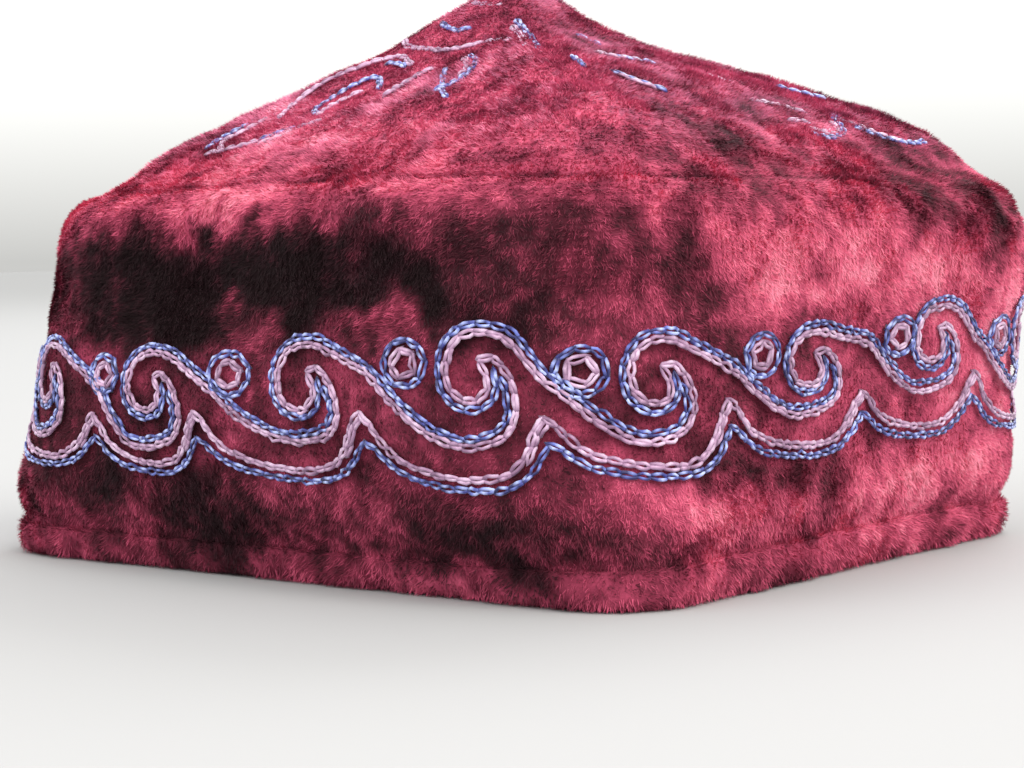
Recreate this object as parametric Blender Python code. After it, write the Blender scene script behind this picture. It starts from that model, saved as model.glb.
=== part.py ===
"""A soft, four-sided, pointed velvet skullcap, standing on its hem.

A tall band is sewn to four crown panels that meet at the tip, and a rolled binding is folded over the
band's lower edge. Units are metres and Z is up. The origin lies on the floor under the middle of the cap, and
the panels face -Y (front), +X (right), +Y (back) and -X (left).
"""

import math
from collections import namedtuple

import bpy
from mathutils import Matrix, Vector

# Sizes of the whole cap
CAP_WIDTH = 0.157  # from side to side at the embroidered line, a girth of 560 mm
CORNER_RADIUS = 0.0396  # of the plan's four corners at that line
BAND_HEIGHT = 0.068  # from the floor to the seam under the crown
CROWN_HEIGHT = 0.041  # from that seam to the tip
WALL = 0.0026  # velvet on its quilted backing
SEAM_GAP = 0.0003  # clearance where two pieces are sewn together

# How far the soft cap has slumped out of square
LEAN = 0.010  # of the crown, towards the corner between the right and back panels
SKEW = 0.15  # slide of the front right corner towards the back right one, as a share of its distance out
SEAM_DROP = 0.007  # by which the crown seam sags at the back right corner

# The binding, folded over the band's raw edge
BINDING_HEIGHT = 0.006
BINDING_LIP = 0.0016  # thickness of the rolled velvet on each side of the band
BINDING_SOLE = 0.0013  # thickness of the rolled velvet under the band

TIP_OPENING = 0.0020  # the hole, from side to side, where the four seams meet
DENT_DEPTH = 0.0022  # of a full dent in the soft cloth

# How finely the surfaces are divided
STRAIGHT_COLUMNS = 10  # along the straight stretch of one side
CORNER_COLUMNS = 12  # round one corner, half of them on each side of its middle
BAND_ROWS = 12
CROWN_ROWS = 10
PROFILE_STEPS = 400  # of the curve from which the rows are read

# Plans of the band from the floor up. height is a share of BAND_HEIGHT, side of half of CAP_WIDTH, corner
# of CORNER_RADIUS, lean of LEAN and skew of SKEW. The last row is the crown seam.
Section = namedtuple("Section", "height side corner lean skew")
BAND_SECTIONS = (
    Section(0.00, 0.892, 0.36, -0.12, 1.10),
    Section(0.09, 0.914, 0.46, -0.12, 1.02),
    Section(0.20, 0.960, 0.68, -0.06, 0.75),
    Section(0.32, 0.980, 0.87, 0.06, 0.45),
    Section(0.44, 0.992, 1.00, 0.20, 0.20),
    Section(0.60, 0.988, 1.00, 0.32, 0.10),
    Section(0.74, 0.988, 1.02, 0.50, 0.00),
    Section(0.84, 0.985, 1.04, 0.56, 0.00),
    Section(0.92, 0.968, 1.02, 0.58, 0.00),
    Section(0.97, 0.938, 0.98, 0.60, 0.00),
    Section(1.00, 0.900, 0.94, 0.64, 0.00),
)

# Plans of the crown above the seam, with height as a share of CROWN_HEIGHT
CROWN_SECTIONS = (
    Section(0.06, 0.848, 0.82, 0.72, 0.00),
    Section(0.17, 0.770, 0.62, 0.84, 0.02),
    Section(0.29, 0.655, 0.38, 0.90, 0.10),
    Section(0.42, 0.508, 0.24, 0.68, 0.30),
    Section(0.54, 0.386, 0.17, 0.40, 0.50),
    Section(0.64, 0.262, 0.13, 0.12, 0.60),
    Section(0.73, 0.190, 0.10, 0.02, 0.65),
    Section(0.80, 0.144, 0.08, 0.04, 0.65),
    Section(0.90, 0.080, 0.05, 0.12, 0.65),
    Section(1.00, 0.000, 0.00, 0.20, 0.65),
)

# Hollows and bulges pressed into the cloth. around counts sides from the front's left corner, so that 0.5 is
# the front's middle and 1 its right corner; height and tall are shares of the cap's height, wide is in sides,
# and depth is a share of DENT_DEPTH, below zero for a bulge.
Dent = namedtuple("Dent", "around height wide tall depth")
DENTS = (
    Dent(0.45, 0.47, 0.34, 0.09, 0.85),
    Dent(0.50, 0.60, 0.40, 0.05, -0.60),
    Dent(1.55, 0.27, 0.40, 0.07, 0.45),
    Dent(1.50, 0.50, 0.38, 0.09, -0.50),
    Dent(1.60, 0.70, 0.30, 0.06, 0.70),
    Dent(2.50, 0.45, 0.36, 0.10, 0.60),
    Dent(3.45, 0.48, 0.32, 0.10, -0.50),
    Dent(3.55, 0.22, 0.40, 0.06, 0.45),
    Dent(0.50, 0.73, 0.22, 0.06, -0.80),
    Dent(1.42, 0.80, 0.20, 0.05, -0.70),
    Dent(2.50, 0.74, 0.22, 0.07, -0.70),
    Dent(3.50, 0.74, 0.22, 0.07, -0.60),
)

# The sagging corner, counted as around is, and the sag's reach in sides
SAG_CENTRE = 2.0
SAG_WIDE = 0.22

SIDE_NAMES = ("front", "right", "back", "left")
HALF_CORNER = math.pi / 4
TO_BACK_RIGHT = Vector((1.0, 1.0)).normalized()
TO_FRONT_RIGHT = Vector((1.0, -1.0)).normalized()

# Colours, as linear values
VELVET = (0.235, 0.006, 0.030, 1.0)
VELVET_BINDING = (0.200, 0.005, 0.026, 1.0)

# The plan of the cap's outer face at one height: a rounded square with its middle and skew. outward and upward
# are the parts of the face's unit normal, and travel is the way up to it along the face from the floor.
Plan = namedtuple("Plan", "z side corner middle skew outward upward travel")


def section_rows():
    """Both tables as plans in real sizes, from the floor to the tip."""
    half = CAP_WIDTH / 2
    rows = [(row, row.height * BAND_HEIGHT) for row in BAND_SECTIONS]
    rows += [(row, BAND_HEIGHT + row.height * CROWN_HEIGHT) for row in CROWN_SECTIONS]
    return [
        (z, row.side * half, row.corner * CORNER_RADIUS, row.lean * LEAN, row.skew * SKEW) for row, z in rows
    ]


def smooth_between(rows, z, field):
    """A field of the rows at height z, on a smooth curve that never swings past two neighbouring rows."""
    last = len(rows) - 2
    low = next((i for i in range(last) if z < rows[i + 1][0]), last)
    steps = [rows[i + 1][0] - rows[i][0] for i in range(last + 1)]
    slopes = [(rows[i + 1][field] - rows[i][field]) / steps[i] for i in range(last + 1)]

    def tangent(i):
        if i == 0 or i == last + 1:
            return slopes[min(i, last)]
        before, after = slopes[i - 1], slopes[i]
        return 0.0 if before * after <= 0 else 2 * before * after / (before + after)

    share = (z - rows[low][0]) / steps[low]
    start, end = rows[low][field], rows[low + 1][field]
    rise = share * share * (3 - 2 * share)
    leave = share * (1 - share) ** 2 * steps[low]
    arrive = -share * share * (1 - share) * steps[low]
    return start + (end - start) * rise + tangent(low) * leave + tangent(low + 1) * arrive


def fine_plans():
    """Plans at many heights from the floor to the tip, close enough together to read straight between."""
    rows = section_rows()
    top = rows[-1][0]
    found = []
    travel = 0.0
    for step in range(PROFILE_STEPS + 1):
        z = top * step / PROFILE_STEPS
        side, corner, lean, skew = (smooth_between(rows, z, field) for field in (1, 2, 3, 4))
        rise, run = top / PROFILE_STEPS, 0.0
        if found:
            run = found[-1].side - side
            travel += math.hypot(rise, run)
        length = math.hypot(rise, run)
        found.append(Plan(z, side, corner, lean, skew, rise / length, run / length, travel))
    found[0] = found[0]._replace(outward=found[1].outward, upward=found[1].upward)
    return found


def plan_where(plans, field, value):
    """The plan at which a field has the given value, which it passes once between the floor and the tip."""
    rising = getattr(plans[-1], field) > getattr(plans[0], field)
    low, high = 0, len(plans) - 1
    while high - low > 1:
        middle = (low + high) // 2
        if (getattr(plans[middle], field) <= value) == rising:
            low = middle
        else:
            high = middle
    start, end = plans[low], plans[high]
    share = (value - getattr(start, field)) / (getattr(end, field) - getattr(start, field))
    return Plan(*(a + (b - a) * share for a, b in zip(start, end)))


def side_columns():
    """Places across one side: shares of the straight stretch, then of each half corner, from end to end."""
    half = CORNER_COLUMNS // 2
    corner = [1 + i / half for i in range(1, half + 1)]
    straight = [2 * i / STRAIGHT_COLUMNS - 1 for i in range(STRAIGHT_COLUMNS + 1)]
    return [-place for place in reversed(corner)] + straight + corner


def place_on_side(plan, column):
    """Point, outward normal and share of the side's length, on the side that faces -Y."""
    flat = plan.side - plan.corner
    length = flat + plan.corner * HALF_CORNER
    sign = math.copysign(1.0, column)
    if abs(column) <= 1:
        return Vector((flat * column, -plan.side)), Vector((0.0, -1.0)), flat * column / length
    angle = (abs(column) - 1) * HALF_CORNER
    normal = Vector((sign * math.sin(angle), -math.cos(angle)))
    centre = Vector((sign * flat, -flat))
    return centre + normal * plan.corner, normal, sign * (flat + plan.corner * angle) / length


def dent_at(around, height):
    """Depth of all dents together at a place on the cap."""
    depth = 0.0
    for dent in DENTS:
        apart = (around - dent.around + 2) % 4 - 2
        above = height - dent.height
        depth += dent.depth * math.exp(-((apart / dent.wide) ** 2) - (above / dent.tall) ** 2)
    return depth * DENT_DEPTH


def crown_share(plans, plan):
    """1 on the band, and above it the share of the crown seam's width that is left."""
    return min(1.0, plan.side / plan_where(plans, "z", BAND_HEIGHT).side)


def surface_point(plans, plan, side, column, inwards=0.0, out=0.0, trim=0.0):
    """A point of the cap at a plan's height on one of its four sides.

    inwards is the share of the wall crossed from the outer face, out a distance outwards, and trim a distance
    taken off the side's two ends. Near the tip the wall is crossed straight down, so that the inner face ends
    under the tip too.
    """
    fade = crown_share(plans, plan)
    sideways = WALL * inwards * plan.outward * fade
    down = WALL * inwards * plan.upward
    if fade < 1.0:
        down += WALL * inwards * plan.outward**2 * (1 - fade) / plan.upward
    moved = out - sideways
    grown = plan._replace(side=plan.side + moved, corner=max(plan.corner + moved, 0.0))
    flat_point, normal, across = place_on_side(grown, column)
    if trim and abs(across) > 1 - 1e-9:
        flat_point -= Vector((-normal.y, normal.x)) * math.copysign(trim, across)
    depth = dent_at(side + (across + 1) / 2, plan.z / plans[-1].z) * fade
    flat_point -= normal * depth * plan.outward
    turned = Matrix.Rotation(side * math.pi / 2, 2) @ flat_point
    turned += TO_BACK_RIGHT * (plan.skew * turned.dot(TO_FRONT_RIGHT) + plan.middle)
    return (turned.x, turned.y, plan.z - down - depth * plan.upward)


def seam_travel(plans, side, column):
    """Where the crown seam runs at one column, as travel: it sags round one corner."""
    level = plan_where(plans, "z", BAND_HEIGHT)
    across = place_on_side(level, column)[2]
    apart = (side + (across + 1) / 2 - SAG_CENTRE + 2) % 4 - 2
    drop = SEAM_DROP * math.exp(-((apart / SAG_WIDE) ** 2))
    return plan_where(plans, "z", BAND_HEIGHT - drop).travel


def plans_between(plans, low, high, count):
    """Plans from one travel to another, at equal steps along the face."""
    return [plan_where(plans, "travel", low + (high - low) * step / count) for step in range(count + 1)]


def new_material(name, colour, roughness):
    material = bpy.data.materials.new(name)
    material.use_nodes = True
    shader = material.node_tree.nodes["Principled BSDF"]
    shader.inputs["Base Color"].default_value = colour
    shader.inputs["Roughness"].default_value = roughness
    shader.inputs["Metallic"].default_value = 0.0
    return material


def add_piece(name, points, faces, material):
    """A smooth object made of the given points and faces."""
    mesh = bpy.data.meshes.new(name)
    mesh.from_pydata(points, [], faces)
    mesh.materials.append(material)
    mesh.shade_smooth()
    piece = bpy.data.objects.new(name, mesh)
    bpy.context.scene.collection.objects.link(piece)
    return piece


def ring_faces(loops, columns):
    """Faces between neighbouring closed loops of points, the last loop joined to the first."""
    faces = []
    for loop in range(loops):
        above = (loop + 1) % loops
        for column in range(columns):
            beside = (column + 1) % columns
            faces.append(
                (
                    loop * columns + column,
                    loop * columns + beside,
                    above * columns + beside,
                    above * columns + column,
                )
            )
    return faces


def ring_columns():
    """Side and column of every point round one closed loop."""
    return [(side, column) for side in range(4) for column in side_columns()[:-1]]


def add_band(plans, material):
    low = plan_where(plans, "z", BINDING_SOLE + SEAM_GAP).travel
    stacks = [
        plans_between(plans, low, seam_travel(plans, side, column) - SEAM_GAP / 2, BAND_ROWS)
        for side, column in ring_columns()
    ]
    loops = [(row, 0.0) for row in range(BAND_ROWS + 1)]
    loops += [(row, 1.0) for row in range(BAND_ROWS, -1, -1)]
    points = [
        surface_point(plans, stack[row], side, column, inwards)
        for row, inwards in loops
        for stack, (side, column) in zip(stacks, ring_columns())
    ]
    return add_piece("band", points, ring_faces(len(loops), len(stacks)), material)


def add_binding(plans, material):
    """Velvet rolled over the band's edge: a channel that the band stands in, flat underneath."""
    lip, top, slot = BINDING_LIP + SEAM_GAP, BINDING_HEIGHT, SEAM_GAP
    # Each corner of the channel's section: height, side of the wall that it is on, and distance from that side
    profile = (
        (0.00 * top, 0.0, 0.0),
        (0.14 * top, 0.0, 0.60 * lip),
        (0.45 * top, 0.0, lip),
        (0.80 * top, 0.0, 0.85 * lip),
        (top, 0.0, 0.45 * lip),
        (top, 0.0, slot),
        (BINDING_SOLE, 0.0, slot),
        (BINDING_SOLE, 1.0, -slot),
        (top, 1.0, -slot),
        (top, 1.0, -0.45 * lip),
        (0.80 * top, 1.0, -0.85 * lip),
        (0.45 * top, 1.0, -lip),
        (0.14 * top, 1.0, -0.60 * lip),
        (0.00 * top, 1.0, 0.0),
    )
    points = []
    for z, inwards, out in profile:
        plan = plan_where(plans, "z", z)
        for side, column in ring_columns():
            x, y, _ = surface_point(plans, plan, side, column, inwards, out)
            points.append((x, y, z))
    return add_piece("hem_binding", points, ring_faces(len(profile), len(ring_columns())), material)


def add_crown_panel(plans, side, material):
    """One triangular panel: an outer and an inner grid, joined along their edges."""
    columns = side_columns()
    tip = plan_where(plans, "side", TIP_OPENING / 2).travel
    stacks = [
        plans_between(plans, seam_travel(plans, side, column) + SEAM_GAP / 2, tip, CROWN_ROWS)
        for column in columns
    ]
    points = [
        surface_point(plans, stack[row], side, column, inwards, 0.0, SEAM_GAP / 2)
        for inwards in (0.0, 1.0)
        for row in range(CROWN_ROWS + 1)
        for stack, column in zip(stacks, columns)
    ]
    across, up = len(columns), CROWN_ROWS + 1
    inner = across * up

    def at(row, column):
        return row * across + column

    faces = []
    for row in range(up - 1):
        for column in range(across - 1):
            quad = (at(row, column), at(row, column + 1), at(row + 1, column + 1), at(row + 1, column))
            faces.append(quad)
            faces.append(tuple(inner + corner for corner in reversed(quad)))
    border = [at(0, column) for column in range(across)]
    border += [at(row, across - 1) for row in range(1, up)]
    border += [at(up - 1, column) for column in range(across - 2, -1, -1)]
    border += [at(row, 0) for row in range(up - 2, 0, -1)]
    for start, end in zip(border, border[1:] + border[:1]):
        faces.append((end, start, inner + start, inner + end))
    return add_piece("crown_panel_" + SIDE_NAMES[side], points, faces, material)


def centre_on_floor(pieces):
    """Moves the pieces together, so that the middle of the cap's outline lies over the origin."""
    corners = [point.co for piece in pieces for point in piece.data.vertices]
    middle = [(min(c[axis] for c in corners) + max(c[axis] for c in corners)) / 2 for axis in (0, 1)]
    for piece in pieces:
        piece.location = (-middle[0], -middle[1], 0.0)


def main():
    for old in list(bpy.data.objects):
        bpy.data.objects.remove(old, do_unlink=True)
    plans = fine_plans()
    velvet = new_material("velvet", VELVET, 0.75)
    binding_velvet = new_material("binding_velvet", VELVET_BINDING, 0.8)
    pieces = [add_band(plans, velvet), add_binding(plans, binding_velvet)]
    pieces += [add_crown_panel(plans, side, velvet) for side in range(4)]
    centre_on_floor(pieces)


main()
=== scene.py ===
import math
from collections import namedtuple

import bpy
import numpy as np
from mathutils import Matrix, Vector, kdtree


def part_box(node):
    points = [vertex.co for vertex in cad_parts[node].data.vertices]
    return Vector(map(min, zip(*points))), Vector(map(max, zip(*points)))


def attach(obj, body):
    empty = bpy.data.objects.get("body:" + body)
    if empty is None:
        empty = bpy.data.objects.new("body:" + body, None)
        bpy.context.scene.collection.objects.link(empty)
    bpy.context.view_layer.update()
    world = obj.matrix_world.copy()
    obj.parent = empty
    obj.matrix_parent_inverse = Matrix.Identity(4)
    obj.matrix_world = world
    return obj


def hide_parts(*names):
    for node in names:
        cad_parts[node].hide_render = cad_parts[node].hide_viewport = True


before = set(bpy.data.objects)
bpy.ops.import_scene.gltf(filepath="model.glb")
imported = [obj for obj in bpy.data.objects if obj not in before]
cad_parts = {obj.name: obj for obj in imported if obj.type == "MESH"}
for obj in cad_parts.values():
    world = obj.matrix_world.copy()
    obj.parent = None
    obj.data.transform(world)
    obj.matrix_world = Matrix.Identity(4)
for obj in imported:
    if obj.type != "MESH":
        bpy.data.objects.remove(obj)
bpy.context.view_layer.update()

# The band: one strip of crushed velvet on its backing, sewn to a ring and eased round four soft corners. It
# carries the form of the whole cap, so the plans from the floor to the tip are given here, in metres.
CAP_WIDTH = 0.157
CORNER_RADIUS = 0.0396
BAND_HEIGHT = 0.068
CROWN_HEIGHT = 0.041
WALL = 0.0026
LEAN = 0.010  # how far the plan moves along its diagonal
SKEW = 0.15  # how far it is stretched along it, as a share
SEAM_DROP = 0.007
SEAM_DROP_WIDE = 0.22  # in sides
SEAM_DROP_CENTRE = 2.0  # in sides from the front's left corner
DENT_DEPTH = 0.0022

# Height as a share of the band or the crown, then half the side, the corner, the lean and the skew as shares
# of their sizes
BAND_PLANS = (
    (0.00, 0.892, 0.36, -0.12, 1.10),
    (0.09, 0.914, 0.46, -0.12, 1.02),
    (0.20, 0.960, 0.68, -0.06, 0.75),
    (0.32, 0.980, 0.87, 0.06, 0.45),
    (0.44, 0.992, 1.00, 0.20, 0.20),
    (0.60, 0.988, 1.00, 0.32, 0.10),
    (0.74, 0.988, 1.02, 0.50, 0.00),
    (0.84, 0.985, 1.04, 0.56, 0.00),
    (0.92, 0.968, 1.02, 0.58, 0.00),
    (0.97, 0.938, 0.98, 0.60, 0.00),
    (1.00, 0.900, 0.94, 0.64, 0.00),
)
CROWN_PLANS = (
    (0.06, 0.848, 0.82, 0.72, 0.00),
    (0.17, 0.770, 0.62, 0.84, 0.02),
    (0.29, 0.655, 0.38, 0.90, 0.10),
    (0.42, 0.508, 0.24, 0.68, 0.30),
    (0.54, 0.386, 0.17, 0.40, 0.50),
    (0.64, 0.262, 0.13, 0.12, 0.60),
    (0.73, 0.190, 0.10, 0.02, 0.65),
    (0.80, 0.144, 0.08, 0.04, 0.65),
    (0.90, 0.080, 0.05, 0.12, 0.65),
    (1.00, 0.000, 0.00, 0.20, 0.65),
)

# Hollows pressed into the cloth, or swellings where the depth is below 0: around in sides from the front's
# left corner, height, width in sides, and tallness and depth as shares
DENTS = (
    (0.45, 0.47, 0.34, 0.09, 0.85), (0.50, 0.60, 0.40, 0.05, -0.60), (1.55, 0.27, 0.40, 0.07, 0.45),
    (1.50, 0.50, 0.38, 0.09, -0.50), (1.60, 0.70, 0.30, 0.06, 0.70), (2.50, 0.45, 0.36, 0.10, 0.60),
    (3.45, 0.48, 0.32, 0.10, -0.50), (3.55, 0.22, 0.40, 0.06, 0.45), (0.50, 0.73, 0.22, 0.06, -0.80),
    (1.42, 0.80, 0.20, 0.05, -0.70), (2.50, 0.74, 0.22, 0.07, -0.70), (3.50, 0.74, 0.22, 0.07, -0.60),
)

plan_rows = [(h * BAND_HEIGHT, s, c, l, k) for h, s, c, l, k in BAND_PLANS]
plan_rows += [(BAND_HEIGHT + h * CROWN_HEIGHT, s, c, l, k) for h, s, c, l, k in CROWN_PLANS]
plan_rows = np.array(plan_rows) * [1.0, CAP_WIDTH / 2, CORNER_RADIUS, LEAN, SKEW]
PLAN_STEPS = 800
NO_DIVIDING_BY_NOTHING = 1e-12
plan_z = np.linspace(0.0, plan_rows[-1, 0], PLAN_STEPS + 1)


def unit(vectors):
    """The vectors at length one."""
    return vectors / (np.linalg.norm(vectors, axis=-1, keepdims=True) + NO_DIVIDING_BY_NOTHING)


def through_rows(field):
    """A field of the rows at every fine height, on a smooth curve that never swings past two rows."""
    heights, values = plan_rows[:, 0], plan_rows[:, field]
    steps = np.diff(heights)
    slopes = np.diff(values) / steps
    before, after = slopes[:-1], slopes[1:]
    both = before * after
    inner = np.where(both > 0, 2 * both / np.where(both > 0, before + after, 1.0), 0.0)
    tangents = np.concatenate([slopes[:1], inner, slopes[-1:]])
    low = np.clip(np.searchsorted(heights, plan_z, side="right") - 1, 0, len(steps) - 1)
    share = (plan_z - heights[low]) / steps[low]
    rise = share * share * (3 - 2 * share)
    leave = share * (1 - share) ** 2 * steps[low]
    arrive = -share * share * (1 - share) * steps[low]
    found = values[low] + (values[low + 1] - values[low]) * rise
    return found + tangents[low] * leave + tangents[low + 1] * arrive


plan_side, plan_corner, plan_lean, plan_skew = (through_rows(field) for field in (1, 2, 3, 4))
plan_run = np.hypot(np.diff(plan_z), np.diff(plan_side))
plan_way = np.concatenate([[0.0], np.cumsum(plan_run)])
plan_mid = (plan_way[1:] + plan_way[:-1]) / 2
plan_outward = np.diff(plan_z) / plan_run
plan_upward = -np.diff(plan_side) / plan_run
TIP_WAY = plan_way[-1]
SIDE_LENGTH = 0.140  # of one side along the embroidered line, in metres
SHARPEST_CORNER = 1e-6


def way_at(z):
    """The way up the cap's face to a height."""
    return np.interp(z, plan_z, plan_way)


def sides_apart(around, centre):
    """How many sides round the cap two places lie apart, from -2 to 2."""
    return (around - centre + 2) % 4 - 2


def seam_way(around):
    """The way up to the crown seam, which sags round one corner."""
    apart = sides_apart(around, SEAM_DROP_CENTRE) / SEAM_DROP_WIDE
    return way_at(BAND_HEIGHT - SEAM_DROP * np.exp(-(apart**2)))


def cap_point(around, way, inwards=0.0, out=0.0):
    """Points of the cap: inwards is the share of the wall that is crossed, and out a distance outwards."""
    given = (np.asarray(value, float) for value in (around, way, inwards, out))
    around, way, inwards, out = np.broadcast_arrays(*given)
    side, corner, lean, skew, z = (
        np.interp(way, plan_way, v) for v in (plan_side, plan_corner, plan_lean, plan_skew, plan_z)
    )
    outward = np.interp(way, plan_mid, plan_outward)
    upward = np.interp(way, plan_mid, plan_upward)
    fade = np.minimum(1.0, side / np.interp(way_at(BAND_HEIGHT), plan_way, plan_side))
    down = WALL * inwards * upward
    steep = np.maximum(upward, 0.2)  # so that the inside stays below the tip
    down = down + np.where(fade < 1, WALL * inwards * outward**2 * (1 - fade) / steep, 0.0)
    moved = out * outward - WALL * inwards * outward * fade
    side = side + moved
    corner = np.maximum(corner + moved, SHARPEST_CORNER)
    which = np.floor(around)
    across = 2 * (around - which) - 1
    flat = side - corner
    reach = np.abs(across) * (flat + corner * math.pi / 4)
    angle = np.clip((reach - flat) / corner, 0.0, math.pi / 4)
    sign = np.sign(across)
    x = sign * np.where(reach <= flat, reach, flat + corner * np.sin(angle))
    y = -np.where(reach <= flat, side, flat + corner * np.cos(angle))
    share = z / plan_z[-1]
    depth = np.zeros_like(x)
    for centre, height, wide, tall, deep in DENTS:
        depth += deep * np.exp(-((sides_apart(around, centre) / wide) ** 2) - ((share - height) / tall) ** 2)
    depth *= DENT_DEPTH * fade
    x = x - sign * np.sin(angle) * depth * outward
    y = y + np.cos(angle) * depth * outward
    turn = which * math.pi / 2
    turned_x = np.cos(turn) * x - np.sin(turn) * y
    turned_y = np.sin(turn) * x + np.cos(turn) * y
    slide = skew * (turned_x - turned_y) / math.sqrt(2) + lean
    turned_x = turned_x + slide / math.sqrt(2)
    turned_y = turned_y + slide / math.sqrt(2)
    return np.stack([turned_x, turned_y, z - down - depth * upward + out * upward], axis=-1)


# The form is laid over the solid band, so that both stand in the same place
form_ways = np.linspace(way_at(0.008), way_at(0.066), 60)
form_band = cap_point(np.linspace(0, 4, 721)[:-1, None], form_ways[None, :]).reshape(-1, 3)
form_middle = (form_band.min(axis=0) + form_band.max(axis=0)) / 2
solid_band = np.array(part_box("band"))
TO_SOLIDS = (solid_band.mean(axis=0) - form_middle) * [1, 1, 0]


def cap_frame(around, way):
    """Unit vectors of the cap's face: along it to the right, up it, and outwards."""
    step = 0.0004
    aside = step / SIDE_LENGTH
    right = unit(cap_point(around + aside, way) - cap_point(around - aside, way))
    normal = unit(np.cross(right, cap_point(around, way + step) - cap_point(around, way - step)))
    return right, np.cross(normal, right), normal


LATTICE = 32  # values along each side of the block of random ones
NOISE_REACH = 1.6  # brings the smoothed values back to nearly -1 to 1


def lattice_noise(points, size, seed):
    """Smooth noise from -1 to 1 at points in metres, with bumps of about the given size."""
    lattice = np.random.default_rng(seed).uniform(-1, 1, (LATTICE, LATTICE, LATTICE))
    place = points / size + (LATTICE + 1) / 2
    cell = np.floor(place).astype(int)
    part = place - cell
    part = part * part * (3 - 2 * part)
    total = np.zeros(points.shape[:-1])
    for corner in range(8):
        bits = np.array([corner & 1, corner >> 1 & 1, corner >> 2 & 1])
        near = (cell + bits) % LATTICE
        weight = np.where(bits, part, 1 - part).prod(axis=-1)
        total += lattice[near[..., 0], near[..., 1], near[..., 2]] * weight
    return total * NOISE_REACH


def layered_noise(points, layers):
    """A sum of noises, each with its amount, its size in metres and its seed."""
    return sum(amount * lattice_noise(points, size, seed) for amount, size, seed in layers)


def linear(hex_colour):
    """An sRGB hex colour as linear values."""
    parts = [int(hex_colour[i : i + 2], 16) / 255 for i in (1, 3, 5)]
    return [p / 12.92 if p <= 0.04045 else ((p + 0.055) / 1.055) ** 2.4 for p in parts]


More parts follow.
